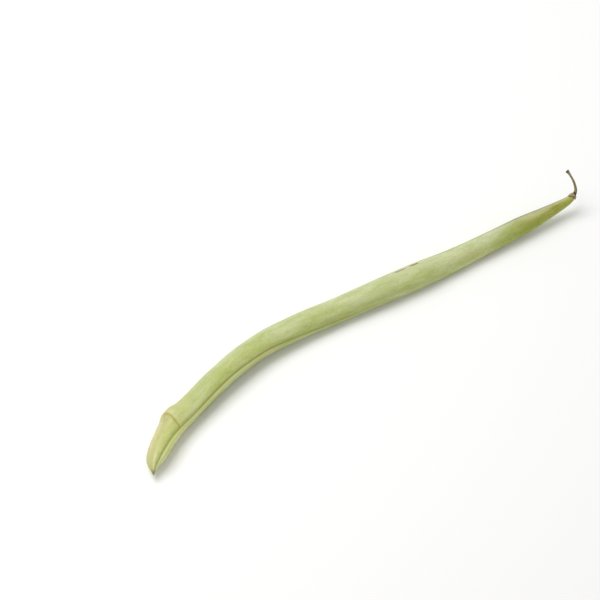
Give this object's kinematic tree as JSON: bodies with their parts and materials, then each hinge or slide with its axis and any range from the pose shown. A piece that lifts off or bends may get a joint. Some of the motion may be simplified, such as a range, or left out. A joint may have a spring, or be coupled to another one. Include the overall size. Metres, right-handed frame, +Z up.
{
  "type": "green bean",
  "caption": "Long slim bean pod, bowed and nearly round in section, with a seam on each edge, a short beak, a dry toothed calyx and a thin hooked stalk, lying on its side.",
  "frame": {"origin": "bottom centre of the bean's box, on the surface it lies on", "axes": "+X along the length towards the stalk, +Y towards the outside of the bow, +Z up from the surface it lies on"},
  "size_m": [0.1958, 0.0264, 0.0146],
  "materials": {
    "pod": "smooth waxy plant skin, pale yellow-green, darker olive at the neck, soft satin sheen",
    "calyx": "dry papery plant tissue, pinkish brown, matte",
    "stalk": "dry ridged plant stalk, green-brown with a dark cut end, matte"
  },
  "bodies": {
    "root": {"pod": "pod", "calyx": "calyx", "stalk": "stalk"}
  },
  "joints": []
}
